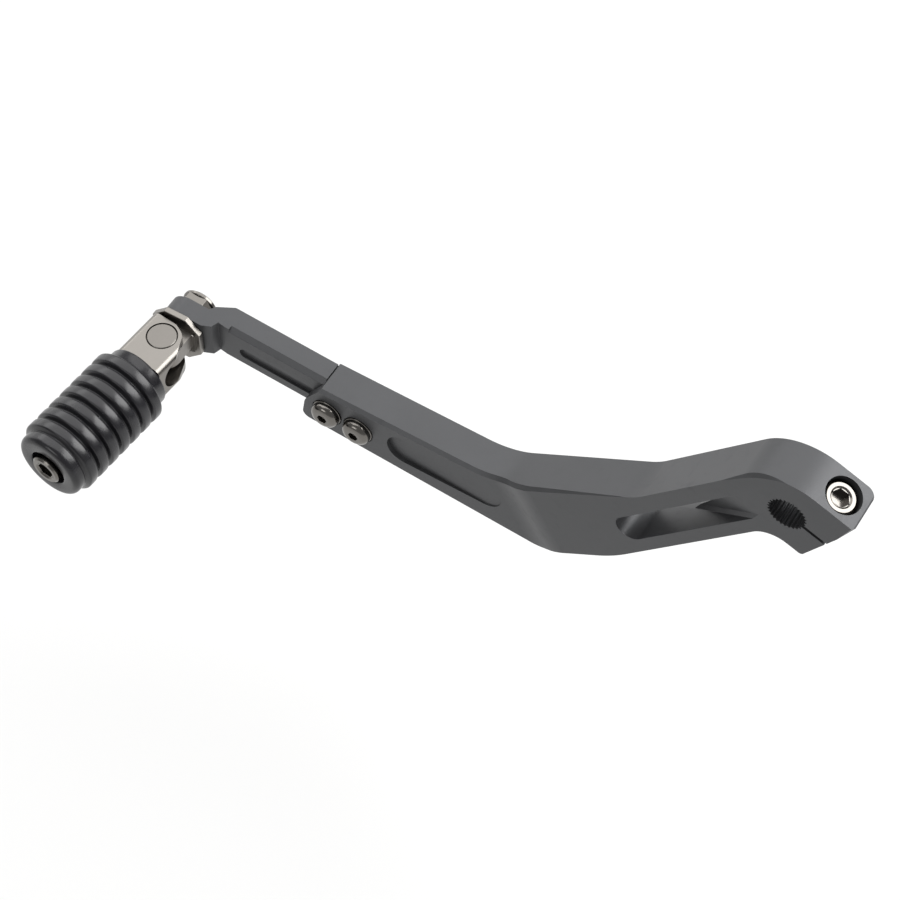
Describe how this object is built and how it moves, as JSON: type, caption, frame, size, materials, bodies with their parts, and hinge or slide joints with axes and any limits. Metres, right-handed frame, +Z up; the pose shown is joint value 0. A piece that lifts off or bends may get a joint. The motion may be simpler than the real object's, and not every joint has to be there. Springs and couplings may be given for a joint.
{
  "type": "gear shift lever",
  "caption": "Foot-operated gear shift lever with a bent two-part arm, a serrated clamp bore and a folding, sprung rubber toe peg.",
  "frame": {"origin": "centre of the serrated shaft bore, half way through the clamp", "axes": "+X from the toe peg towards the clamp, +Y along the bore towards the engine, +Z up; the toe peg stands out to -Y"},
  "size_m": [0.2433, 0.0786, 0.0962],
  "materials": {
    "anodised": "dark grey satin anodising",
    "stainless": "polished stainless",
    "bright_steel": "bright plated, satin",
    "black_steel": "black oxide",
    "bronze": "plain sintered",
    "spring_steel": "drawn wire",
    "rubber": "moulded, soft sheen",
    "nylon": "natural"
  },
  "bodies": {
    "lever": {"main_arm": "anodised", "front_arm": "anodised", "pinch_bolt": "stainless", "joint_screw_1": "stainless", "joint_screw_2": "stainless", "joint_washer_1": "stainless", "joint_washer_2": "stainless", "stop_plate": "stainless", "hinge_knuckle": "bright_steel", "pivot_bush": "bronze", "stud_nut": "bright_steel", "nut_insert": "nylon", "return_spring": "spring_steel"},
    "peg": {"peg_fork": "bright_steel", "hinge_pin": "stainless", "pin_clip": "black_steel", "rubber_sleeve": "rubber", "sleeve_insert": "bright_steel", "peg_screw": "stainless", "peg_screw_washer": "stainless"}
  },
  "joints": [
    {"name": "peg_fold", "type": "hinge", "parent": "lever", "child": "peg", "pos_m": [-0.2063, -0.0138, -0.063], "axis": [0, 0, 1], "range_deg": [0, 80], "stiffness_Nm_per_rad": 0.15, "springref_deg": -34.38}
  ]
}
